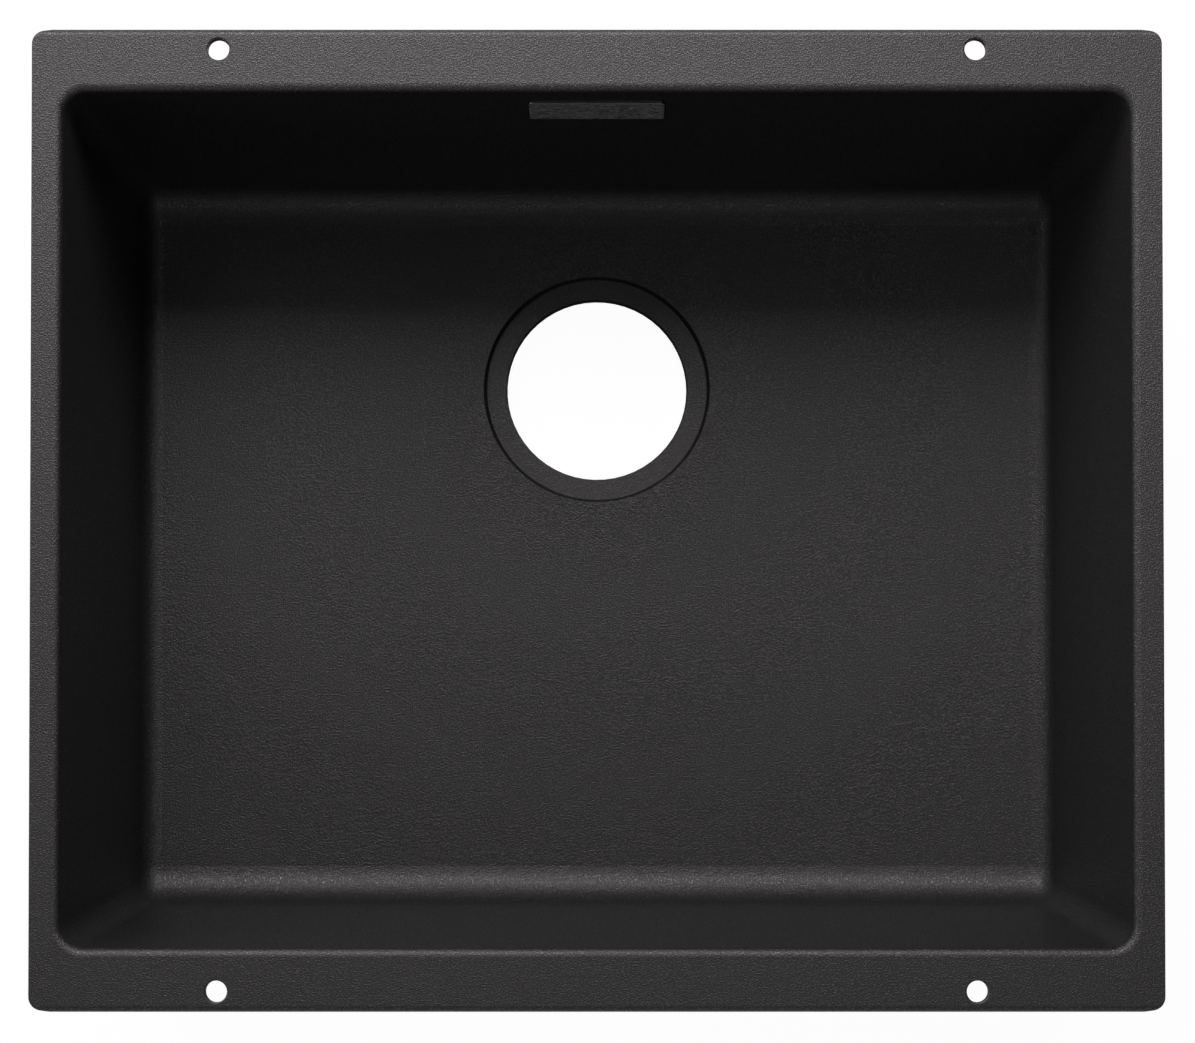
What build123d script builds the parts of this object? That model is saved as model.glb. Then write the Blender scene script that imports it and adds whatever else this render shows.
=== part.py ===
from build123d import *
import os
from math import cos, radians, sin, tan

# Undermount kitchen sink with a covered overflow, in millimetres.
# +X is the sink's right, +Y its back and +Z up. The origin is the centre of the four fixing holes
# on the flange's top face, the plane that meets the underside of the worktop.

# ---------------------------------------------------------------- driving dimensions

# Bowl: its length and width are taken at the foot of the rim's round
bowl_length = 500.0
bowl_width = 400.0
bowl_depth = 190.0
front_draft = 6.5
back_draft = 9.2
end_draft = 8.0
wall_thickness = 8.0
floor_thickness = 10.0
floor_fall = 0.45
rim_round = 4.5
side_round = 11.0
foot_round = 18.5

# Flange round the bowl's mouth
flange_side_width = 15.0
flange_end_width = 30.0
flange_thickness = 10.0
flange_edge_round = 3.0
flange_side_edge_round = 0.4
flange_taper_run = 10.0
flange_taper_fall = 1.45
flange_corner = 6.4
flange_under_chamfer = 1.0
under_flange_round = 6.0

# Fixing holes, on a rectangle round the origin
fixing_spacing_x = 355.0
fixing_inset = 9.5
fixing_hole_radius = 5.1
fixing_edge_depth = 0.4
fixing_edge_width = 0.6

# Drain: a recessed seat for a strainer's flange round a 3 1/2 inch bore
drain_setback = 126.9
drain_radius = 44.45
drain_bore_length = 12.0
drain_bore_chamfer = 0.5
seat_width = 11.5
seat_wall_height = 4.0
seat_wall_run = 1.4
seat_fall = 0.5
seat_edge_round = 0.3
seat_corner_round = 0.5
seat_throat_flare = 0.5
seat_throat_height = 3.0
boss_margin = 10.25
boss_chamfer = 2.0
boss_root_round = 4.0

# Overflow cover and its pocket, set out on the plane of the back wall's inner face
overflow_drop = 32.3
cover_length = 64.0
cover_height = 27.0
cover_sheet = 1.0
cover_proud = 1.0
cover_fold = 3.0
cover_corner = 2.0
cover_edge_round = 0.5
cover_side_gap = 0.5
cover_flow_gap = 2.5
pocket_depth = 6.0
pocket_corner = 3.0
window_end_inset = 6.0
window_side_inset = 4.0
window_corner = 4.0
pad_thickness = 3.0
pad_margin = 3.5
pad_edge_round = 2.0

# Overflow carrier, its seal and the clips behind the cover
seal_thickness = 1.0
seal_inset = 0.6
lip_width = 4.0
lip_thickness = 1.5
lip_corner = 4.0
lip_edge_round = 0.4
carrier_wall = 1.6
carrier_fit = 0.3
carrier_setback = 0.5
clip_count = 2
clip_pitch = 17.0
clip_width = 8.0
clip_strip = 0.5
clip_reach = 6.0
clip_fit = 0.3
clip_bend = 0.8
clip_bow = 1.0
clip_lead_in = 1.4

# Screws and their inserts
screw_end_inset = 6.0
screw_radius = 2.0
screw_past_insert = 2.9
screw_head_radius = 3.75
screw_head_angle = 90.0
screw_hole_fit = 0.25
screw_head_fit = 0.1
screw_boss_wall = 0.65
screw_socket_radius = 1.45
screw_socket_depth = 1.2
screw_tip_chamfer = 0.5
insert_wall = 0.8
insert_length = 8.0
insert_thread_fit = 0.05
insert_seat_fit = 0.05
insert_groove_depth = 0.35
insert_groove_width = 1.2

# Collecting box behind the wall, and its hose spigot
gasket_thickness = 2.0
gasket_width = 4.0
gasket_clearance = 1.0
head_corner = 5.0
head_wall = 2.2
head_flange = 2.5
head_flange_overhang = 2.8
head_back_round = 3.0
head_boss_wall = 1.6
pilot_depth = 3.5
pilot_fit = 0.4
gusset_count = 4
gusset_end_inset = 8.7
gusset_thickness = 1.4
gusset_run = 8.0
spigot_radius = 8.5
spigot_wall = 2.0
spigot_margin = 0.75
spigot_collar = 0.4
spigot_collar_drop = 1.0
spigot_land = 12.0
barb_count = 3
barb_pitch = 5.0
barb_flat = 1.0
barb_crest_drop = 0.1
barb_root_drop = 0.7

# ---------------------------------------------------------------- worked-out places

back_rise = tan(radians(back_draft))
back_cos = cos(radians(back_draft))
back_sin = sin(radians(back_draft))
flange_length = bowl_length + 2 * flange_side_width
flange_width = bowl_width + 2 * flange_end_width
fixing_spacing_y = flange_width - 2 * fixing_inset

drain_y = bowl_width / 2 - drain_setback
drain_axis = Axis((0, drain_y, 0), (0, 0, 1))
seat_radius = drain_radius + seat_width
seat_foot_radius = seat_radius - seat_wall_run
seat_foot_z = -bowl_depth - seat_wall_height
boss_radius = seat_radius + boss_margin
underside_z = -bowl_depth - floor_thickness
bore_top_z = seat_foot_z - seat_fall
bore_bottom_z = bore_top_z - drain_bore_length
fall_rise = tan(radians(floor_fall))
fall_apex_z = -bowl_depth - seat_radius * fall_rise

# A plane on the back wall's inner face: x runs right, y up the wall, z into the bowl
wall_plane = Plane(
    origin=(0, bowl_width / 2 + (rim_round - overflow_drop) * back_rise, -overflow_drop),
    x_dir=(1, 0, 0),
    z_dir=(0, -back_cos, back_sin),
)
pocket_length = cover_length + 2 * cover_side_gap
pocket_height = cover_height + 2 * cover_flow_gap
window_length = cover_length - 2 * window_end_inset
window_height = cover_height - 2 * window_side_inset
cover_back = cover_proud - cover_sheet

lip_length = window_length + 2 * lip_width
lip_height = window_height + 2 * lip_width
lip_back = -pocket_depth + seal_thickness
lip_front = lip_back + lip_thickness
sleeve_length = window_length - 2 * carrier_fit
sleeve_height = window_height - 2 * carrier_fit
sleeve_corner = window_corner - carrier_fit
pad_face = -wall_thickness - pad_thickness
sleeve_end = pad_face + carrier_setback

gasket_back = pad_face - gasket_thickness
head_length = window_length + 2 * gasket_clearance + 2 * gasket_width
head_height = window_height + 2 * gasket_clearance + 2 * gasket_width
head_depth = 2 * spigot_radius + 2 * spigot_margin
box_length = head_length - 2 * head_flange_overhang
box_height = head_height - 2 * head_flange_overhang
box_corner = head_corner - head_flange_overhang / 2
pad_length = head_length + 2 * pad_margin
pad_foot = -head_height / 2 - pad_margin
pad_top = (overflow_drop - flange_thickness / 2) / back_cos
gusset_pitch = (box_length - 2 * gusset_end_inset) / (gusset_count - 1)
spigot_w = gasket_back - head_depth / 2

screw_pitch = window_length - 2 * screw_end_inset
screw_places = [(-screw_pitch / 2, 0), (screw_pitch / 2, 0)]
screw_seat = lip_front - lip_edge_round
screw_length = screw_seat - gasket_back + insert_length + screw_past_insert
screw_head_height = (screw_head_radius - screw_radius) / tan(radians(screw_head_angle / 2))
insert_radius = screw_radius + insert_wall

# Planes square to the wall: one for profiles across it, one down the spigot's axis
section_plane = Plane(wall_plane.origin, x_dir=wall_plane.y_dir, z_dir=wall_plane.x_dir)
spigot_plane = Plane(
    wall_plane.from_local_coords((0, 0, spigot_w)),
    x_dir=wall_plane.x_dir,
    z_dir=-wall_plane.y_dir,
)


# ---------------------------------------------------------------- bowl


def wall_face(toward, reach, draft):
    """A plane on a wall's inner face: toward points out of the bowl, reach is how far out it is."""
    out = Vector(toward)
    foot_of_rim = out * reach - Vector(0, 0, rim_round)
    square_to_wall = out * cos(radians(draft)) - Vector(0, 0, sin(radians(draft)))
    return Plane(origin=foot_of_rim, z_dir=square_to_wall)


wall_faces = [
    wall_face((0, -1, 0), bowl_width / 2, front_draft),
    wall_face((0, 1, 0), bowl_width / 2, back_draft),
    wall_face((-1, 0, 0), bowl_length / 2, end_draft),
    wall_face((1, 0, 0), bowl_length / 2, end_draft),
]


def round_basin(basin, foot, side):
    """Round the feet of the front and back walls, then each end wall all the way round."""
    low_edges = basin.edges().filter_by(lambda edge: edge.bounding_box().max.Z < -bowl_depth / 2)
    fillet([low_edges.sort_by(Axis.Y)[0], low_edges.sort_by(Axis.Y)[-1]], foot)
    for end in (-1, 1):
        end_wall = basin.faces().sort_by(Axis.X)[0 if end < 0 else -1]
        mouth_edge = end_wall.edges().sort_by(Axis.Z)[-1]
        fillet([edge for edge in end_wall.edges() if edge != mouth_edge], side)


# The space inside the bowl: a block cut back to the drafted walls, its floor a very flat cone
with BuildPart() as cavity:
    with BuildSketch(Plane.XY):
        Rectangle(flange_length, flange_width)
    extrude(amount=underside_z)
    for face_plane in wall_faces:
        split(bisect_by=face_plane, keep=Keep.BOTTOM)
    with BuildSketch(Plane.XZ.offset(-drain_y)):
        with BuildLine():
            Polyline(
                (0, fall_apex_z),
                (flange_length, fall_apex_z + flange_length * fall_rise),
                (flange_length, bore_bottom_z),
                (0, bore_bottom_z),
                close=True,
            )
        make_face()
    revolve(axis=drain_axis, mode=Mode.SUBTRACT)
    round_basin(cavity, foot_round, side_round)


# The moulding: drafted skin, flange, drain boss and overflow pad, less everything that opens it
with BuildPart() as bowl:
    with BuildSketch(Plane.XY):
        Rectangle(flange_length, flange_width)
    extrude(amount=underside_z)
    for face_plane in wall_faces:
        split(bisect_by=face_plane.offset(wall_thickness), keep=Keep.BOTTOM)
    round_basin(bowl, foot_round + wall_thickness, side_round + wall_thickness)

    # Drain boss
    with BuildSketch(Plane.XY.offset(bore_bottom_z)):
        with Locations((0, drain_y)):
            Circle(boss_radius)
    extrude(amount=underside_z - bore_bottom_z)
    boss_edges = bowl.edges().filter_by(GeomType.CIRCLE).filter_by(
        lambda edge: abs(edge.radius - boss_radius) < 0.01
    )
    chamfer(boss_edges.sort_by(Axis.Z)[0], boss_chamfer)
    fillet(boss_edges.sort_by(Axis.Z)[-1], boss_root_round)

    # Flange: its long edges are rounded, then its ends are cut to their slightly tapered plan
    with BuildSketch(Plane.YZ):
        with Locations((0, -flange_thickness / 2)):
            flange_section = Rectangle(flange_width, flange_thickness)
        fillet(flange_section.vertices().group_by(Axis.Y)[-1], flange_edge_round)
    extrude(amount=flange_length, both=True)
    with BuildSketch(Plane.XY):
        with BuildLine():
            taper_foot = flange_width / 2 - flange_taper_fall
            taper_top = taper_foot + flange_taper_fall * flange_length / (2 * flange_taper_run)
            Polyline(
                (flange_length / 2, -taper_foot),
                (flange_length / 2, taper_foot),
                (0, taper_top),
                (-flange_length / 2, taper_foot),
                (-flange_length / 2, -taper_foot),
                (0, -taper_top),
                close=True,
            )
        flange_plan = make_face()
        corners_by_side = flange_plan.vertices().group_by(Axis.X)
        fillet(corners_by_side[0] + corners_by_side[-1], flange_corner)
    extrude(amount=2 * underside_z, mode=Mode.INTERSECT)
    flange_under = bowl.faces().filter_by(Axis.Z).sort_by(
        lambda face: abs(face.center().Z + flange_thickness)
    )[0]
    fillet(flange_under.inner_wires()[0].edges(), under_flange_round)
    flange_under = bowl.faces().filter_by(Axis.Z).sort_by(
        lambda face: abs(face.center().Z + flange_thickness)
    )[0]
    chamfer(flange_under.outer_wire().edges(), flange_under_chamfer)

    # Flat pad outside the back wall, where the collecting box seats
    with BuildSketch(wall_plane.offset(-wall_thickness)):
        with Locations((0, (pad_top + pad_foot) / 2)):
            Rectangle(pad_length, pad_top - pad_foot)
    extrude(amount=-pad_thickness)
    pad_outer = bowl.faces().sort_by_distance(wall_plane.offset(pad_face).origin)[0]
    fillet(pad_outer.edges().sort_by(Axis.Z)[:-1], pad_edge_round)

    # The inside, and its rim
    add(cavity.part, mode=Mode.SUBTRACT)
    flange_top = bowl.faces().sort_by(Axis.Z)[-1]
    fillet(flange_top.inner_wires()[0].edges(), rim_round)
    flange_top = bowl.faces().sort_by(Axis.Z)[-1]
    side_edges = flange_top.outer_wire().edges().filter_by(Axis.Y)
    fillet(side_edges, flange_side_edge_round)

    # Drain seat and bore
    with BuildSketch(Plane.XZ.offset(-drain_y)):
        with BuildLine():
            Polyline(
                (0, -bowl_depth + seat_wall_height),
                (seat_radius + seat_wall_run, -bowl_depth + seat_wall_height),
                (seat_foot_radius, seat_foot_z),
                (drain_radius + seat_throat_flare, bore_top_z),
                (drain_radius, bore_top_z - seat_throat_height),
                (drain_radius, bore_bottom_z),
                (0, bore_bottom_z),
                close=True,
            )
        make_face()
        seat_corner = vertices().sort_by_distance((seat_foot_radius, seat_foot_z))[0]
        fillet(seat_corner, seat_corner_round)
    revolve(axis=drain_axis, mode=Mode.SUBTRACT)
    seat_edges = bowl.edges().filter_by(GeomType.CIRCLE).filter_by(
        lambda edge: abs(edge.radius - seat_radius) < seat_edge_round
    )
    fillet(seat_edges.sort_by(Axis.Z)[-1], seat_edge_round)
    chamfer(bowl.edges().sort_by(Axis.Z)[0], drain_bore_chamfer)

    # Overflow pocket and the window through its floor
    with BuildSketch(wall_plane):
        RectangleRounded(pocket_length, pocket_height, pocket_corner)
    extrude(amount=-pocket_depth, mode=Mode.SUBTRACT)
    with BuildSketch(wall_plane.offset(-pocket_depth)):
        RectangleRounded(window_length, window_height, window_corner)
    extrude(amount=pad_face + pocket_depth, mode=Mode.SUBTRACT)

    # Fixing holes, with the edge broken at the top
    with GridLocations(fixing_spacing_x, fixing_spacing_y, 2, 2):
        Hole(fixing_hole_radius, depth=flange_thickness)
    flange_top = bowl.faces().sort_by(Axis.Z)[-1]
    hole_edges = flange_top.edges().filter_by(GeomType.CIRCLE).filter_by(
        lambda edge: abs(edge.radius - fixing_hole_radius) < 0.01
    )
    chamfer(hole_edges, length=fixing_edge_width, length2=fixing_edge_depth, reference=flange_top)
bowl.part.label = "bowl"


# ---------------------------------------------------------------- overflow, bowl side

# Cover: a pressed sheet with its edges folded back
with BuildPart() as overflow_cover:
    with BuildSketch(wall_plane.offset(cover_proud)):
        RectangleRounded(cover_length, cover_height, cover_corner)
    extrude(amount=-cover_fold)
    fillet(overflow_cover.faces().sort_by(Axis.Y)[0].edges(), cover_edge_round)
    with BuildSketch(wall_plane.offset(cover_back)):
        RectangleRounded(
            cover_length - 2 * cover_sheet,
            cover_height - 2 * cover_sheet,
            cover_corner - cover_sheet,
        )
    extrude(amount=cover_sheet - cover_fold, mode=Mode.SUBTRACT)
overflow_cover.part.label = "overflow_cover"

# Clips: bent strips on the back of the cover, whose legs spring against the carrier's sleeve
with BuildPart() as cover_clips:
    clip_grip = sleeve_height / 2 - carrier_wall - clip_fit - clip_strip / 2
    clip_base = cover_back - clip_strip / 2
    clip_end = lip_front - clip_reach
    for clip in range(clip_count):
        clip_x = (clip - (clip_count - 1) / 2) * clip_pitch
        with BuildSketch(section_plane.offset(clip_x)):
            with BuildLine():
                FilletPolyline(
                    (-clip_grip + clip_lead_in, clip_end),
                    (-clip_grip, clip_end + clip_lead_in),
                    (-clip_grip + clip_bow, clip_base),
                    (clip_grip - clip_bow, clip_base),
                    (clip_grip, clip_end + clip_lead_in),
                    (clip_grip - clip_lead_in, clip_end),
                    radius=clip_bend,
                )
            trace(line_width=clip_strip)
        extrude(amount=clip_width / 2, both=True)
cover_clips.part.label = "cover_clips"

# Carrier: a lip on the pocket's floor and a sleeve through the window, with two screw bosses
with BuildPart() as overflow_carrier:
    with BuildSketch(wall_plane.offset(lip_back)):
        RectangleRounded(lip_length, lip_height, lip_corner)
    extrude(amount=lip_thickness)
    fillet(overflow_carrier.faces().sort_by(Axis.Y)[0].edges(), lip_edge_round)
    with BuildSketch(wall_plane.offset(lip_back)):
        RectangleRounded(sleeve_length, sleeve_height, sleeve_corner)
    extrude(amount=sleeve_end - lip_back)
    with BuildSketch(wall_plane.offset(lip_front)):
        RectangleRounded(
            sleeve_length - 2 * carrier_wall,
            sleeve_height - 2 * carrier_wall,
            sleeve_corner - carrier_wall,
        )
    extrude(amount=sleeve_end - lip_front, mode=Mode.SUBTRACT)
    with BuildSketch(wall_plane.offset(lip_front - lip_edge_round)):
        with Locations(*screw_places):
            Circle(screw_head_radius + screw_boss_wall)
    extrude(amount=sleeve_end - lip_front + lip_edge_round)
    with Locations(wall_plane.offset(lip_front - lip_edge_round)):
        with Locations(*screw_places):
            CounterSinkHole(
                screw_radius + screw_hole_fit,
                screw_head_radius + screw_head_fit,
                counter_sink_angle=screw_head_angle,
            )
overflow_carrier.part.label = "overflow_carrier"

# Seal between the lip and the pocket's floor
with BuildPart() as carrier_seal:
    with BuildSketch(wall_plane.offset(-pocket_depth)):
        RectangleRounded(
            lip_length - 2 * seal_inset, lip_height - 2 * seal_inset, lip_corner - seal_inset
        )
        RectangleRounded(window_length, window_height, window_corner, mode=Mode.SUBTRACT)
    extrude(amount=seal_thickness)
carrier_seal.part.label = "carrier_seal"


# ---------------------------------------------------------------- overflow, behind the wall

# Gasket between the pad and the collecting box
with BuildPart() as wall_gasket:
    with BuildSketch(wall_plane.offset(pad_face)):
        RectangleRounded(head_length, head_height, head_corner)
        RectangleRounded(
            head_length - 2 * gasket_width,
            head_height - 2 * gasket_width,
            head_corner - gasket_width / 2,
            mode=Mode.SUBTRACT,
        )
    extrude(amount=-gasket_thickness)
wall_gasket.part.label = "wall_gasket"

# Collecting box: a flanged, ribbed housing open to the window, with a barbed spigot below
with BuildPart() as overflow_head:
    with BuildSketch(wall_plane.offset(gasket_back)):
        RectangleRounded(box_length, box_height, box_corner)
    extrude(amount=-head_depth)
    fillet(overflow_head.faces().sort_by(Axis.Y)[-1].edges(), head_back_round)
    with BuildSketch(wall_plane.offset(gasket_back)):
        RectangleRounded(head_length, head_height, head_corner)
    extrude(amount=-head_flange)

    # Gussets between the flange and the box
    for gusset in range(gusset_count):
        gusset_x = (gusset - (gusset_count - 1) / 2) * gusset_pitch
        with BuildSketch(section_plane.offset(gusset_x)):
            with BuildLine():
                Polyline(
                    (box_height / 2 - head_wall / 2, gasket_back - head_flange),
                    (head_height / 2, gasket_back - head_flange),
                    (box_height / 2, gasket_back - head_flange - gusset_run),
                    (box_height / 2 - head_wall / 2, gasket_back - head_flange - gusset_run),
                    close=True,
                )
            make_face()
            mirror(about=Plane.YZ)
        extrude(amount=gusset_thickness / 2, both=True)

    # Spigot: a collar that stops the hose, a plain land that it seals on, then the barbs
    with BuildSketch(section_plane):
        with BuildLine():
            spigot_root = -box_height / 2 + head_wall
            land_start = -head_height / 2 - spigot_collar_drop
            land_end = land_start - spigot_land
            collar_edge = spigot_w + spigot_radius + spigot_collar
            barb_root = spigot_radius - barb_root_drop
            barb_crest = spigot_radius - barb_crest_drop
            spigot_line = [(spigot_root, spigot_w), (spigot_root, collar_edge)]
            spigot_line.append((land_start, collar_edge))
            spigot_line.append((land_start, spigot_w + spigot_radius))
            spigot_line.append((land_end, spigot_w + spigot_radius))
            for barb in range(barb_count):
                barb_start = land_end - barb * barb_pitch
                spigot_line.append((barb_start, spigot_w + barb_root))
                spigot_line.append((barb_start - barb_flat, spigot_w + barb_root))
                spigot_line.append((barb_start - barb_flat, spigot_w + barb_crest))
            spigot_end = land_end - barb_count * barb_pitch
            spigot_line.append((spigot_end, spigot_w + barb_root))
            spigot_line.append((spigot_end, spigot_w))
            Polyline(*spigot_line, close=True)
        make_face()
    revolve(axis=Axis(spigot_plane.origin, spigot_plane.z_dir))

    # Hollow inside, then the bosses that hold the inserts
    with BuildSketch(wall_plane.offset(gasket_back)):
        RectangleRounded(
            box_length - 2 * head_wall,
            box_height - 2 * head_wall,
            box_corner - head_wall / 2,
        )
    extrude(amount=-head_depth + head_wall, mode=Mode.SUBTRACT)
    with BuildSketch(spigot_plane):
        Circle(spigot_radius - spigot_wall)
    extrude(amount=-spigot_end, mode=Mode.SUBTRACT)
    with BuildSketch(wall_plane.offset(gasket_back)):
        with Locations(*screw_places):
            Circle(insert_radius + head_boss_wall)
    extrude(amount=-head_depth + head_wall / 2)
    with Locations(wall_plane.offset(gasket_back)):
        with Locations(*screw_places):
            CounterBoreHole(
                screw_radius + pilot_fit,
                insert_radius + insert_seat_fit,
                insert_length,
                depth=insert_length + pilot_depth,
            )
overflow_head.part.label = "overflow_head"

# Brass inserts in the bosses, with a groove round the middle that locks them in
with BuildPart() as screw_inserts:
    with BuildSketch(wall_plane.offset(gasket_back)):
        with Locations(*screw_places):
            Circle(insert_radius)
            Circle(screw_radius + insert_thread_fit, mode=Mode.SUBTRACT)
    extrude(amount=-insert_length)
    groove_w = gasket_back - (insert_length - insert_groove_width) / 2
    with BuildSketch(wall_plane.offset(groove_w)):
        with Locations(*screw_places):
            Circle(insert_radius)
            Circle(insert_radius - insert_groove_depth, mode=Mode.SUBTRACT)
    extrude(amount=-insert_groove_width, mode=Mode.SUBTRACT)
screw_inserts.part.label = "screw_inserts"

# Countersunk screws from the bowl side into the inserts
with BuildPart() as overflow_screws:
    with BuildSketch(wall_plane.offset(screw_seat)):
        with Locations(*screw_places):
            Circle(screw_radius)
    extrude(amount=-screw_length)
    chamfer(overflow_screws.faces().group_by(Axis.Y)[-1].edges(), screw_tip_chamfer)
    with BuildSketch(wall_plane.offset(screw_seat)):
        with Locations(*screw_places):
            Circle(screw_head_radius)
    extrude(amount=-screw_head_height, taper=screw_head_angle / 2)
    with BuildSketch(wall_plane.offset(screw_seat)):
        with Locations(*screw_places):
            RegularPolygon(screw_socket_radius, 6)
    extrude(amount=-screw_socket_depth, mode=Mode.SUBTRACT)
overflow_screws.part.label = "overflow_screws"


# ---------------------------------------------------------------- one file per piece

pieces = [
    bowl,
    overflow_cover,
    cover_clips,
    overflow_carrier,
    carrier_seal,
    wall_gasket,
    overflow_head,
    screw_inserts,
    overflow_screws,
]
os.makedirs("parts", exist_ok=True)
for piece in pieces:
    export_step(piece.part, f"parts/{piece.part.label}.step")
    print(piece.part.label, piece.part.is_valid, len(piece.part.solids()), piece.part.volume)
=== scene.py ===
# %% [markdown]
# # An undermount kitchen sink, dressed and lit
#
# The object is a single bowl moulded in dark stone composite: quartz sand held in a resin.
# Its flat flange is clamped up against the underside of a worktop. A steel cover hides the
# overflow near the top of the back wall, and the open drain bore takes a strainer.
#
# The shapes come from a CAD model. This file gives every surface its finish, down to the grain
# and the brush lines that are too fine for CAD, and sets up floor, lamps and camera. Lengths are
# metres, +X is the sink's right, +Y its back and +Z up, and z = 0 is the top of the flange.

# %% Load the model
import math

import bpy
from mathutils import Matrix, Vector


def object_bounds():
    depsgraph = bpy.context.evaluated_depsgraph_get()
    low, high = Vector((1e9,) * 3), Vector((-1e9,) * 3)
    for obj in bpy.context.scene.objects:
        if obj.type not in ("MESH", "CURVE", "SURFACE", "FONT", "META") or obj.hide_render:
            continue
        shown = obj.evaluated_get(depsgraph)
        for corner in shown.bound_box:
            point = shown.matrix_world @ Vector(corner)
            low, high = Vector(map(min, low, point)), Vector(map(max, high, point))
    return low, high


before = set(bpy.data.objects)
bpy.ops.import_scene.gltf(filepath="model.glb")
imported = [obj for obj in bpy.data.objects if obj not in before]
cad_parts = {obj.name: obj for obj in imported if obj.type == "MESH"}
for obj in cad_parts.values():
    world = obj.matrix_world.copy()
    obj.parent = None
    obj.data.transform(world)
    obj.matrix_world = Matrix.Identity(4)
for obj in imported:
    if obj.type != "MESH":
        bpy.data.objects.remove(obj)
cad_low, cad_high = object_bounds()
sink_size = cad_high - cad_low
print("sink, mm:", [round(1000 * side, 1) for side in sink_size])

# %% [markdown]
# ## Floor
#
# The sink was photographed on plain white, so a large pale plane lies just under it. It is made
# here, and gets its paint two cells further on, after the helpers that build materials.

# %% Floor
floor_side = 14
floor_gap = 0.0005
bpy.ops.object.select_all(action="DESELECT")
bpy.ops.mesh.primitive_plane_add(size=floor_side, location=(0, 0, cad_low.z - floor_gap))
floor = bpy.context.object
floor.name = "studio_floor"
print("floor at z =", round(floor.location.z, 4))

# %% [markdown]
# ## Helpers for materials
#
# A material is a small network of nodes. Most of them do one thing, such as a sum or a blend,
# and need three or four lines each, so each kind gets a function that adds the node, fills its
# inputs and returns its output. Then a finish can be read as a recipe.

# %% Helpers for materials
def new_material(name):
    """Makes an empty node material and returns it with its output node."""
    material = bpy.data.materials.new(name)
    material.use_nodes = True
    nodes = material.node_tree.nodes
    nodes.clear()
    return material, nodes.new("ShaderNodeOutputMaterial")


def add_node(tree, kind, **settings):
    """Adds a node to a material or a group, and sets the properties that are named."""
    node = tree.nodes.new("ShaderNode" + kind)
    for setting, value in settings.items():
        setattr(node, setting, value)
    return node


def feed(tree, socket, value):
    """Gives an input a plain value, or links another node's output to it."""
    if isinstance(value, bpy.types.NodeSocket):
        tree.links.new(value, socket)
    else:
        socket.default_value = value


def calculate(tree, operation, first, second=0.0, third=0.0):
    """One Math node: returns its output."""
    node = add_node(tree, "Math", operation=operation)
    for socket, value in zip(node.inputs, (first, second, third)):
        feed(tree, socket, value)
    return node.outputs[0]


def remap(tree, value, low, high, to_low=0.0, to_high=1.0, smooth=False):
    """One Map Range node: low..high becomes to_low..to_high, and is clamped there."""
    node = add_node(tree, "MapRange")
    node.interpolation_type = "SMOOTHSTEP" if smooth else "LINEAR"
    for socket, number in zip(node.inputs, (value, low, high, to_low, to_high)):
        feed(tree, socket, number)
    return node.outputs[0]


def blend_colours(tree, amount, first, second):
    """One Mix Color node: returns its colour output."""
    node = add_node(tree, "Mix", data_type="RGBA")
    feed(tree, node.inputs["Factor"], amount)
    feed(tree, node.inputs["A"], first)
    feed(tree, node.inputs["B"], second)
    return node.outputs["Result"]


def mix_shaders(tree, amount, first, second, surface):
    """One Mix Shader node between two shader nodes, linked to the output's surface."""
    node = add_node(tree, "MixShader")
    feed(tree, node.inputs[0], amount)
    feed(tree, node.inputs[1], first.outputs[0])
    feed(tree, node.inputs[2], second.outputs[0])
    feed(tree, surface, node.outputs[0])


def object_place(tree):
    """Where the shaded point lies on the piece, in metres: Object coordinates."""
    return add_node(tree, "TexCoord").outputs["Object"]


def split_axes(tree, vector):
    """One Separate XYZ node: returns its three outputs."""
    node = add_node(tree, "SeparateXYZ")
    feed(tree, node.inputs[0], vector)
    return node.outputs


def join_axes(tree, x, y=0.0, z=0.0):
    """One Combine XYZ node: returns its vector output."""
    node = add_node(tree, "CombineXYZ")
    for socket, value in zip(node.inputs, (x, y, z)):
        feed(tree, socket, value)
    return node.outputs[0]


def noise(tree, place, scale, detail=1.0, roughness=0.5):
    """One Noise Texture on the given coordinates: returns its number output."""
    node = add_node(tree, "TexNoise")
    feed(tree, node.inputs["Vector"], place)
    feed(tree, node.inputs["Scale"], scale)
    feed(tree, node.inputs["Detail"], detail)
    feed(tree, node.inputs["Roughness"], roughness)
    return node.outputs[0]


def bump(tree, height, strength, distance, normal=None):
    """One Bump node, on top of an earlier one if that is given: returns its normal output."""
    node = add_node(tree, "Bump")
    feed(tree, node.inputs["Height"], height)
    feed(tree, node.inputs["Strength"], strength)
    feed(tree, node.inputs["Distance"], distance)
    if normal is not None:
        feed(tree, node.inputs["Normal"], normal)
    return node.outputs[0]


print("helpers ready")
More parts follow.
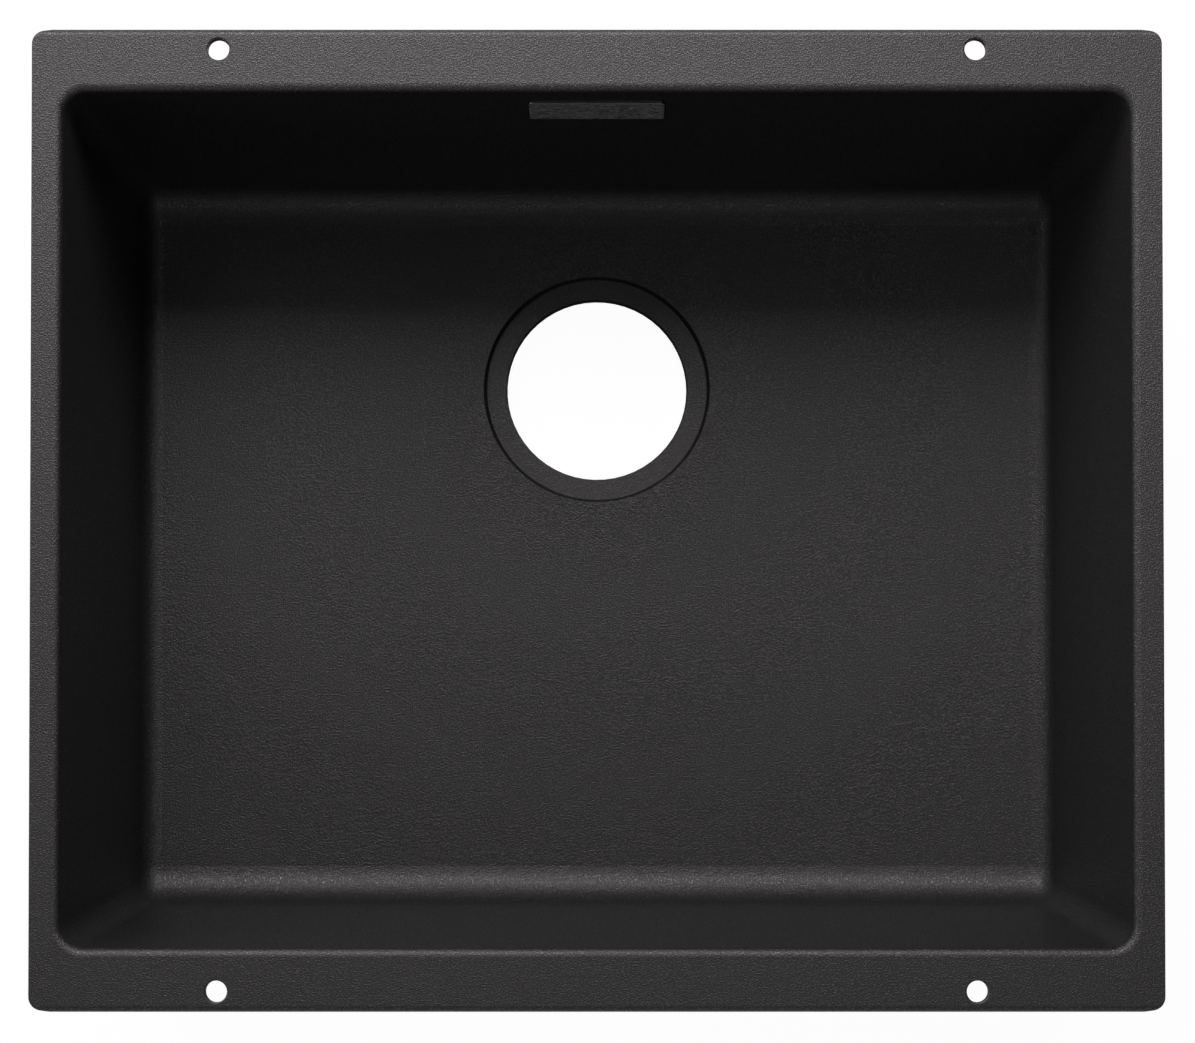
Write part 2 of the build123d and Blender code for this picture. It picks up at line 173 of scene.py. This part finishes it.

# %% [markdown]
# ## Floor finish
#
# To the lamps the floor is an ordinary matt one, so it throws light back up and takes the
# sink's shadow. To the camera, and in reflections, a faint glow of its own lifts it to white:
# that keeps the lamps at a level that suits the dark stone. A Light Path node tells the kinds of
# ray apart. Straight under the sink the floor is painted dark, to the lamps and in reflections:
# a painted shade of the sink, so that the spot that the lamps light through the drain doesn't
# shine on the overflow cover.

# %% Floor finish
painted_shade_until, painted_shade_fades_by = 0.9, 1.3  # in half lengths and half widths of the sink
floor_paint, floor_out = new_material("studio_floor")
tree = floor_paint.node_tree
seen_matt = add_node(tree, "BsdfDiffuse")
feed(tree, seen_matt.inputs["Color"], (0.05, 0.05, 0.05, 1))
seen_glow = add_node(tree, "Emission")
feed(tree, seen_glow.inputs["Strength"], 0.97)
seen = add_node(tree, "AddShader")
feed(tree, seen.inputs[0], seen_matt.outputs[0])
feed(tree, seen.inputs[1], seen_glow.outputs[0])
floor_x, floor_y, _ = split_axes(tree, object_place(tree))
along = calculate(tree, "DIVIDE", calculate(tree, "ABSOLUTE", floor_x), sink_size.x / 2)
across = calculate(tree, "DIVIDE", calculate(tree, "ABSOLUTE", floor_y), sink_size.y / 2)
# Painted shade: the floor is darkened straight under the sink, fading out beyond its outline.
outside_painted_shade = remap(tree, calculate(tree, "MAXIMUM", along, across), painted_shade_until, painted_shade_fades_by)
matt = add_node(tree, "BsdfDiffuse")
# Painted shade: near-black matt colour under the sink, pale beyond it.
matt_colour_with_painted_shade = blend_colours(tree, outside_painted_shade, (0.02, 0.02, 0.02, 1), (0.8, 0.8, 0.8, 1))
feed(tree, matt.inputs["Color"], matt_colour_with_painted_shade)
ray = add_node(tree, "LightPath")
# Painted shade in reflections: the floor's glow is dimmed under the sink.
mirrored_outside_painted_shade = calculate(tree, "MULTIPLY", ray.outputs["Is Glossy Ray"], outside_painted_shade)
looked_at = calculate(tree, "MAXIMUM", ray.outputs["Is Camera Ray"], mirrored_outside_painted_shade)
looked_at = calculate(tree, "MAXIMUM", looked_at, ray.outputs["Is Transmission Ray"])
mix_shaders(tree, looked_at, matt, seen, floor_out.inputs["Surface"])
floor.data.materials.append(floor_paint)
print("floor finish:", len(tree.nodes), "nodes")

# %% [markdown]
# ## Camera
#
# The photograph looks almost straight down from far away: the rims of the front wall and the
# back wall show how far the eye stood in front of the middle. A long lens at 3.2 m gives the
# same perspective, and the picture's centre lies a millimetre or so in front of the sink's.

# %% Camera
eye = Vector((0.0003, -0.150, 3.2))
aim = Vector((0.0003, -0.00124, 0))
bpy.ops.object.camera_add(location=eye)
camera = bpy.context.object
camera.name = "studio_camera"
camera.rotation_mode = "QUATERNION"
camera.rotation_quaternion = (aim - eye).to_track_quat("-Z", "Y")
camera.data.lens = 206.46
camera.data.sensor_width = 36
camera.data.clip_end = 30
bpy.context.scene.camera = camera
print("camera", round((aim - eye).length, 3), "m from the middle of the flange's plane")

# %% [markdown]
# ## Lamps
#
# The photograph's main light is a broad soft one behind the sink, about halfway up: the back
# wall shades the back of the bowl's floor, and the foot of the front wall catches the light.
# Two weaker ones stand beside it to the left, one above the other, so the left wall shades a
# little of the floor too. A small one hangs high over the right of the bowl, and two large ones
# fill in from far off: one low at the left, one in front. They are seen as the fine bright lines
# along the feet of the right wall and of the back wall. The powers were found by rendering each
# lamp alone and adding them up to match the photograph's tones. Area lamps give such soft light.
# Each is placed as on a globe round the sink, and turned to face the bowl.

# %% Lamps
lamp_table = [
    # name, degrees from the back to the right, degrees up, distance, width, depth, watts
    ("back_lamp", 0, 42, 0.9, 0.8, 0.38, 10.5),
    ("back_left_lamp", -40, 45, 1.2, 0.4, 0.4, 3.6),
    ("low_back_left_lamp", -40, 20, 1.2, 0.4, 0.4, 3.4),
    ("high_right_lamp", 90, 78, 1.4, 0.5, 0.4, 1.4),
    ("low_left_lamp", -90, 18, 2.4, 0.6, 1.0, 14.0),
    ("far_front_lamp", 180, 28, 3.0, 3.0, 0.4, 15.5),
]
lamp_target = Vector((0, 0, -0.05))
for name, turn, rise, distance, width, depth, power in lamp_table:
    turn, rise = math.radians(turn), math.radians(rise)
    level = distance * math.cos(rise)
    place = Vector((level * math.sin(turn), level * math.cos(turn), distance * math.sin(rise)))
    bpy.ops.object.light_add(type="AREA", location=place)
    lamp = bpy.context.object
    lamp.name = name
    lamp.rotation_mode = "QUATERNION"
    lamp.rotation_quaternion = (lamp_target - place).to_track_quat("-Z", "Y")
    lamp.data.shape = "RECTANGLE"
    lamp.data.size = width
    lamp.data.size_y = depth
    lamp.data.energy = power
    print(name, power, "W")

# %% [markdown]
# ## World
#
# The world is white to the camera and nearly black to everything else. So the background stays
# white beyond the floor's edge, and the shade in the bowl comes from the lamps alone.

# %% World
world = bpy.data.worlds.new("studio")
bpy.context.scene.world = world
world.use_nodes = True
tree = world.node_tree
tree.nodes.clear()
world_out = add_node(tree, "OutputWorld")
dim = add_node(tree, "Background")
feed(tree, dim.inputs["Strength"], 0.02)
white = add_node(tree, "Background")
feed(tree, white.inputs["Color"], (1, 1, 1, 1))
ray = add_node(tree, "LightPath")
mix_shaders(tree, ray.outputs["Is Camera Ray"], dim, white, world_out.inputs["Surface"])
bpy.context.scene.view_settings.view_transform = "Standard"
print("world:", len(tree.nodes), "nodes")

# %% [markdown]
# ## Stone composite
#
# Close up, the moulding is a skin of fine sand bedded in black resin, with grains a little
# under a millimetre apart. The resin is nearly black and the grains are charcoal, so part of
# the speckle is in the colour. The grains are also glossier than the resin, and each is tilted
# its own way, so some sparkle: the noise that darkens the resin between the grains raises and
# polishes them too. A Voronoi pattern picks out a few paler ones. It is a node group, so that a
# material sets how fine the sand is and how many grains are pale. Object coordinates keep the
# grain's size true all over the moulding.

# %% Sand grain, as a node group
def start_group(name, inputs, outputs):
    """Starts a shader node group with named number sockets: returns group, its ins and outs."""
    group = bpy.data.node_groups.new(name, "ShaderNodeTree")
    for label, start in inputs:
        socket = group.interface.new_socket(label, in_out="INPUT", socket_type="NodeSocketFloat")
        socket.default_value = start
    for label in outputs:
        group.interface.new_socket(label, in_out="OUTPUT", socket_type="NodeSocketFloat")
    ins = group.nodes.new("NodeGroupInput")
    outs = group.nodes.new("NodeGroupOutput")
    return group, ins.outputs, outs.inputs


grains_per_metre = 1350
pale_share = 0.10
grain, grain_in, grain_out = start_group(
    "sand_grain",
    [("Grains per metre", grains_per_metre), ("Pale share", pale_share)],
    ["Tone", "Pale", "Height"],
)
place = object_place(grain)
grain_scale = grain_in["Grains per metre"]
tone = remap(grain, noise(grain, place, grain_scale), 0.42, 0.66)
cells = add_node(grain, "TexVoronoi")
feed(grain, cells.inputs["Vector"], place)
feed(grain, cells.inputs["Scale"], calculate(grain, "MULTIPLY", grain_scale, 0.8))
lot = add_node(grain, "SeparateColor")
feed(grain, lot.inputs[0], cells.outputs["Color"])
picked = calculate(grain, "LESS_THAN", lot.outputs[0], grain_in["Pale share"])
pale = calculate(grain, "MULTIPLY", picked, remap(grain, cells.outputs["Distance"], 0.55, 0.1))
feed(grain, grain_out["Tone"], tone)
feed(grain, grain_out["Pale"], pale)
feed(grain, grain_out["Height"], calculate(grain, "MULTIPLY_ADD", pale, 0.4, tone))
print("sand grain:", len(grain.nodes), "nodes")

# %% [markdown]
# ## The coarse side of the moulding
#
# The mould's polished half shapes the inside of the bowl and the top of the flange. The other
# half is coarser: outside and below, the real moulding is duller and rougher, with faint
# clouds where the mix ran. To tell the two sides apart, a node group measures how far a point
# lies behind the inner faces: the four drafted walls and the floor are planes, so a few
# products and one maximum do it. The side walls are alike, so one plane serves both.

# %% Which side of the moulding a point is on
flange_side_width, flange_end_width = 0.015, 0.030
rim_round = 0.0045
side_draft, front_draft, back_draft = 8.0, 6.5, 9.2
bowl_half_length = sink_size.x / 2 - flange_side_width
bowl_half_width = sink_size.y / 2 - flange_end_width
bowl_floor = -0.1905


def behind_plane(tree, axes, point, normal):
    """How far the shaded point lies beyond a plane, in metres."""
    total = -sum(p * n for p, n in zip(point, normal))
    for socket, part in zip(axes, normal):
        if part:
            total = calculate(tree, "MULTIPLY_ADD", socket, part, total)
    return total


back_side, _, back_out = start_group("back_of_moulding", [], ["Back"])
x, y, z = split_axes(back_side, object_place(back_side))
inner_faces = [
    # point just under the rim's round, draft in degrees, the way out of the bowl
    ((0, -bowl_half_width, -rim_round), front_draft, (0, -1)),
    ((0, bowl_half_width, -rim_round), back_draft, (0, 1)),
    ((bowl_half_length, 0, -rim_round), side_draft, (1, 0)),
]
depth = behind_plane(back_side, (x, y, z), (0, 0, bowl_floor), (0, 0, -1))
for point, draft, (out_x, out_y) in inner_faces:
    flat, steep = math.cos(math.radians(draft)), math.sin(math.radians(draft))
    sideways = calculate(back_side, "ABSOLUTE", x) if out_x else x
    normal = (out_x * flat, out_y * flat, -steep)
    face_depth = behind_plane(back_side, (sideways, y, z), point, normal)
    depth = calculate(back_side, "MAXIMUM", depth, face_depth)
under_top = remap(back_side, z, -0.0035, -0.0065, smooth=True)
behind = remap(back_side, depth, 0.002, 0.006, smooth=True)
feed(back_side, back_out["Back"], calculate(back_side, "MULTIPLY", behind, under_top))
print("back of moulding:", len(back_side.nodes), "nodes")

# %% [markdown]
# ## Composite finish
#
# Four colours meet on the moulding: the bowl's, the flange top's, which is painted a little
# paler as painted light, for the light from low lamps that the open flange catches and the bowl
# below the rim doesn't, the clouded back's, and the pale grains'. Two bumps lie on each other:
# the sand, everywhere, and the shallow pits of the coarse half.

# %% Composite finish
grain_height = 0.0001
clouds_per_metre = 14
pits_per_metre = 420
pit_depth = 0.0005
composite, composite_out = new_material("stone_composite")
tree = composite.node_tree
place = object_place(tree)
sand = add_node(tree, "Group", node_tree=grain)
feed(tree, sand.inputs["Grains per metre"], grains_per_metre)
feed(tree, sand.inputs["Pale share"], pale_share)
back = add_node(tree, "Group", node_tree=back_side).outputs[0]
clouds = remap(tree, noise(tree, place, clouds_per_metre, 3.0), 0.35, 0.65)
bowl_colour = blend_colours(
    tree, sand.outputs["Tone"], (0.0010, 0.0009, 0.0010, 1), (0.0150, 0.0140, 0.0145, 1)
)
# Painted light: the flange top gets a paler colour than the bowl, for the low light it catches.
painted_light_flange_colour = blend_colours(
    tree, sand.outputs["Tone"], (0.0080, 0.0075, 0.0077, 1), (0.0305, 0.0285, 0.0294, 1)
)
height = split_axes(tree, place)[2]
painted_light_flange_mask = remap(tree, height, -0.0012, -0.0002)
face_colour = blend_colours(tree, painted_light_flange_mask, bowl_colour, painted_light_flange_colour)
face_colour = blend_colours(tree, sand.outputs["Pale"], face_colour, (0.042, 0.039, 0.0405, 1))
back_colour = blend_colours(tree, clouds, (0.037, 0.0350, 0.0358, 1), (0.050, 0.0475, 0.0485, 1))
back_colour = blend_colours(tree, sand.outputs["Pale"], back_colour, (0.110, 0.104, 0.106, 1))
stone_colour = blend_colours(tree, back, face_colour, back_colour)
sand_normal = bump(tree, sand.outputs["Height"], 1.0, grain_height)
pits = noise(tree, place, pits_per_metre, 3.0, 0.6)
rough_cast = calculate(tree, "MULTIPLY", pits, back)
stone = add_node(tree, "BsdfPrincipled")
feed(tree, stone.inputs["Base Color"], stone_colour)
grain_gloss = remap(tree, sand.outputs["Tone"], 0, 1, 0.57, 0.29)
feed(tree, stone.inputs["Roughness"], remap(tree, back, 0, 1, grain_gloss, 0.70))
feed(tree, stone.inputs["Specular Tint"], (1.0, 0.955, 0.98, 1))
feed(tree, stone.inputs["Normal"], bump(tree, rough_cast, 0.6, pit_depth, sand_normal))
feed(tree, composite_out.inputs["Surface"], stone.outputs[0])
print("composite:", len(tree.nodes), "nodes")

# %% Put the finish on the bowl
def dress(node_name, material):
    """Gives a CAD node a finish in place of the plain colour it came with."""
    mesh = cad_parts[node_name].data
    mesh.materials.clear()
    mesh.materials.append(material)
    print(node_name, "wears", material.name)


dress("bowl", composite)

# %% [markdown]
# ## Coordinates on the sloping back wall
#
# The overflow's pieces all sit square to the back wall, which leans back by its draft. Brush
# lines and turning marks must lean with them, so a node group turns the object coordinates:
# it puts out how far a point lies to the right, up along the wall, and out from it.

# %% Wall coordinates, as a node group
overflow_drop = 0.0323
wall_lean = math.radians(back_draft)
cover_y = bowl_half_width - (overflow_drop - rim_round) * math.tan(wall_lean)
cover_middle = (0.0, cover_y, -overflow_drop)
on_wall, _, wall_out = start_group("wall_coordinates", [], ["Right", "Up", "Out"])
axes = split_axes(on_wall, object_place(on_wall))
up_wall = (0, math.sin(wall_lean), math.cos(wall_lean))
out_wall = (0, -math.cos(wall_lean), math.sin(wall_lean))
feed(on_wall, wall_out["Right"], axes[0])
feed(on_wall, wall_out["Up"], behind_plane(on_wall, axes, cover_middle, up_wall))
feed(on_wall, wall_out["Out"], behind_plane(on_wall, axes, cover_middle, out_wall))
print("wall coordinates lean", back_draft, "degrees")

# %% [markdown]
# ## Worn edges
#
# Corners of metal and plastic are rubbed as parts are handled and fitted. A Bevel node gives
# the normal that a slightly rounded corner would have. Where that differs from the true normal
# there is an edge, and the difference, broken up by a noise, is the mask.

# %% Worn edges, as a node group
worn_width = 0.0003
wear_patches_per_metre = 600
worn, worn_in, worn_out = start_group("worn_edges", [("Width", worn_width)], ["Edge"])
rounded = add_node(worn, "Bevel", samples=4)
feed(worn, rounded.inputs["Radius"], worn_in["Width"])
sharp = add_node(worn, "NewGeometry")
likeness = add_node(worn, "VectorMath", operation="DOT_PRODUCT")
feed(worn, likeness.inputs[0], rounded.outputs[0])
feed(worn, likeness.inputs[1], sharp.outputs["Normal"])
patchy = noise(worn, object_place(worn), wear_patches_per_metre, 2.0)
edge = remap(worn, likeness.outputs["Value"], 0.99, 0.85)
feed(worn, worn_out["Edge"], calculate(worn, "MULTIPLY", edge, remap(worn, patchy, 0.3, 0.6)))
print("worn edges:", len(worn.nodes), "nodes")


def rubbed_edges(tree, width):
    """Places the worn edges group in a material: returns its mask."""
    node = add_node(tree, "Group", node_tree=worn)
    feed(tree, node.inputs["Width"], width)
    return node.outputs[0]


# %% [markdown]
# ## Brushed steel cover
#
# The cover is thin stainless sheet, brushed lengthways and folded back at its edges. Brushing
# leaves long fine lines, so one noise is very fine up the wall and forty times slower along it.
# The belt also bites unevenly, in short patches that are still seen from far off, where the
# single lines no longer are: that is a second noise, three times slower along the wall. Their
# sum varies the colour, the roughness and a very shallow bump. Faces that turn upwards, such as
# the edge folded back at the top, are painted darker: painted shade, to damp the highlight that
# the lamps above would lay along that fold.

# %% Brushing, as a node group
lines_per_metre, line_stretch = 4000, 40
patches_per_metre, patch_stretch = 1500, 3
brushing, brush_in, brush_out = start_group(
    "brushing",
    [
        ("Lines per metre", lines_per_metre),
        ("Stretch", line_stretch),
        ("Patches per metre", patches_per_metre),
    ],
    ["Line"],
)
spot = add_node(brushing, "Group", node_tree=on_wall)


def drawn_out(stretch):
    """The spot on the wall, with the way along the wall squeezed so that a noise is drawn out."""
    right = calculate(brushing, "DIVIDE", spot.outputs["Right"], stretch)
    return join_axes(brushing, right, spot.outputs["Up"], spot.outputs["Out"])


line_place = drawn_out(brush_in["Stretch"])
lines = noise(brushing, line_place, brush_in["Lines per metre"], 2.0, 0.6)
patch_place = drawn_out(patch_stretch)
patches = noise(brushing, patch_place, brush_in["Patches per metre"], 2.0, 0.6)
lines_and_patches = calculate(brushing, "ADD", patches, lines)
feed(brushing, brush_out["Line"], remap(brushing, lines_and_patches, 0.85, 1.15))
print("brushing:", len(brushing.nodes), "nodes")

# %% Brushed steel finish
scratch_depth = 0.00001
steel, steel_out = new_material("brushed_steel")
tree = steel.node_tree
brushed = add_node(tree, "Group", node_tree=brushing)
feed(tree, brushed.inputs["Lines per metre"], lines_per_metre)
feed(tree, brushed.inputs["Stretch"], line_stretch)
feed(tree, brushed.inputs["Patches per metre"], patches_per_metre)
line = brushed.outputs[0]
rub = rubbed_edges(tree, worn_width)
sheet_colour = blend_colours(tree, line, (0.19, 0.189, 0.188, 1), (0.69, 0.685, 0.68, 1))
sheet_colour = blend_colours(tree, rub, sheet_colour, (0.40, 0.395, 0.39, 1))
# Painted shade: faces turned upwards get a darker colour, which damps their highlight.
facing_up = split_axes(tree, add_node(tree, "NewGeometry").outputs["Normal"])[2]
painted_shade_facing_up = remap(tree, facing_up, 0.30, 0.60)
sheet_colour = blend_colours(tree, painted_shade_facing_up, sheet_colour, (0.12, 0.118, 0.116, 1))
sheet_roughness = remap(tree, line, 0, 1, 0.40, 0.56)
sheet_roughness = calculate(tree, "MULTIPLY_ADD", rub, 0.2, sheet_roughness)
sheet = add_node(tree, "BsdfPrincipled")
feed(tree, sheet.inputs["Base Color"], sheet_colour)
feed(tree, sheet.inputs["Metallic"], 1.0)
feed(tree, sheet.inputs["Roughness"], sheet_roughness)
feed(tree, sheet.inputs["Normal"], bump(tree, line, 0.5, scratch_depth))
feed(tree, steel_out.inputs["Surface"], sheet.outputs[0])
dress("overflow_cover", steel)

# %% [markdown]
# ## Spring steel
#
# The clips and screws behind the cover are bright drawn steel. Drawing leaves faint marks, so a
# fine noise varies colour and roughness a little, and the narrow rubbed edges are brighter.

# %% Spring steel finish
draw_marks_per_metre = 2600
spring, spring_out = new_material("spring_steel")
tree = spring.node_tree
drawn = remap(tree, noise(tree, object_place(tree), draw_marks_per_metre, 2.0), 0.3, 0.7)
rub = rubbed_edges(tree, worn_width / 2)
wire_colour = blend_colours(tree, drawn, (0.46, 0.455, 0.45, 1), (0.60, 0.595, 0.59, 1))
wire_colour = blend_colours(tree, rub, wire_colour, (0.75, 0.74, 0.73, 1))
wire = add_node(tree, "BsdfPrincipled")
feed(tree, wire.inputs["Base Color"], wire_colour)
feed(tree, wire.inputs["Metallic"], 1.0)
feed(tree, wire.inputs["Roughness"], remap(tree, drawn, 0, 1, 0.22, 0.36))
feed(tree, spring_out.inputs["Surface"], wire.outputs[0])
dress("cover_clips", spring)
dress("overflow_screws", spring)

# %% [markdown]
# ## Turned brass
#
# The threaded inserts are turned on a lathe, so fine rings run round them. A Wave Texture that
# only sees the distance out from the wall draws such rings on any round piece square to it.

# %% Brass finish
rings_scale = 700
ring_depth = 0.00004
brass, brass_out = new_material("turned_brass")
tree = brass.node_tree
spot = add_node(tree, "Group", node_tree=on_wall)
rings = add_node(tree, "TexWave", wave_type="BANDS", bands_direction="X")
feed(tree, rings.inputs["Vector"], join_axes(tree, spot.outputs["Out"]))
feed(tree, rings.inputs["Scale"], rings_scale)
ring = rings.outputs["Fac"]
turned_colour = blend_colours(tree, ring, (0.50, 0.36, 0.15, 1), (0.66, 0.50, 0.24, 1))
turned = add_node(tree, "BsdfPrincipled")
feed(tree, turned.inputs["Base Color"], turned_colour)
feed(tree, turned.inputs["Metallic"], 1.0)
feed(tree, turned.inputs["Roughness"], remap(tree, ring, 0, 1, 0.25, 0.4))
feed(tree, turned.inputs["Normal"], bump(tree, ring, 0.4, ring_depth))
feed(tree, brass_out.inputs["Surface"], turned.outputs[0])
dress("screw_inserts", brass)

# %% [markdown]
# ## Moulded plastic
#
# The carrier in the wall and the collecting box behind it are black moulded plastic. Their mould
# is spark-eroded, which leaves an even, fine, silky grain: a small bump. Where the plastic
# flowed, the gloss drifts slowly, and the edges are rubbed a little paler.

# %% Moulded plastic finish
sparks_per_metre = 2400
spark_depth = 0.00004
flow_marks_per_metre = 60
plastic, plastic_out = new_material("black_plastic")
tree = plastic.node_tree
place = object_place(tree)
sparked = noise(tree, place, sparks_per_metre, 2.0, 0.6)
flow = remap(tree, noise(tree, place, flow_marks_per_metre, 2.0), 0.35, 0.65)
rub = rubbed_edges(tree, worn_width)
moulded_colour = blend_colours(tree, flow, (0.018, 0.018, 0.019, 1), (0.027, 0.027, 0.028, 1))
moulded_colour = blend_colours(tree, rub, moulded_colour, (0.07, 0.07, 0.072, 1))
moulded = add_node(tree, "BsdfPrincipled")
feed(tree, moulded.inputs["Base Color"], moulded_colour)
feed(tree, moulded.inputs["Roughness"], remap(tree, flow, 0, 1, 0.38, 0.50))
feed(tree, moulded.inputs["Normal"], bump(tree, sparked, 0.6, spark_depth))
feed(tree, plastic_out.inputs["Surface"], moulded.outputs[0])
dress("overflow_carrier", plastic)
dress("overflow_head", plastic)

# %% [markdown]
# ## Rubber
#
# The gasket and the seal are matt black rubber, with a dusting of the talc that keeps such rings
# from sticking: a patchy noise makes them paler and rougher where it lies.

# %% Rubber finish
talc_patches_per_metre = 260
rubber_grain_per_metre = 1800
rubber_grain_depth = 0.00005
rubber, rubber_out = new_material("seal_rubber")
tree = rubber.node_tree
place = object_place(tree)
talc = remap(tree, noise(tree, place, talc_patches_per_metre, 4.0, 0.7), 0.5, 0.75)
rubber_colour = blend_colours(tree, talc, (0.012, 0.012, 0.012, 1), (0.045, 0.045, 0.044, 1))
rubber_grain = noise(tree, place, rubber_grain_per_metre, 2.0)
soft = add_node(tree, "BsdfPrincipled")
feed(tree, soft.inputs["Base Color"], rubber_colour)
feed(tree, soft.inputs["Roughness"], remap(tree, talc, 0, 1, 0.62, 0.85))
feed(tree, soft.inputs["Normal"], bump(tree, rubber_grain, 0.4, rubber_grain_depth))
feed(tree, rubber_out.inputs["Surface"], soft.outputs[0])
dress("wall_gasket", rubber)
dress("carrier_seal", rubber)
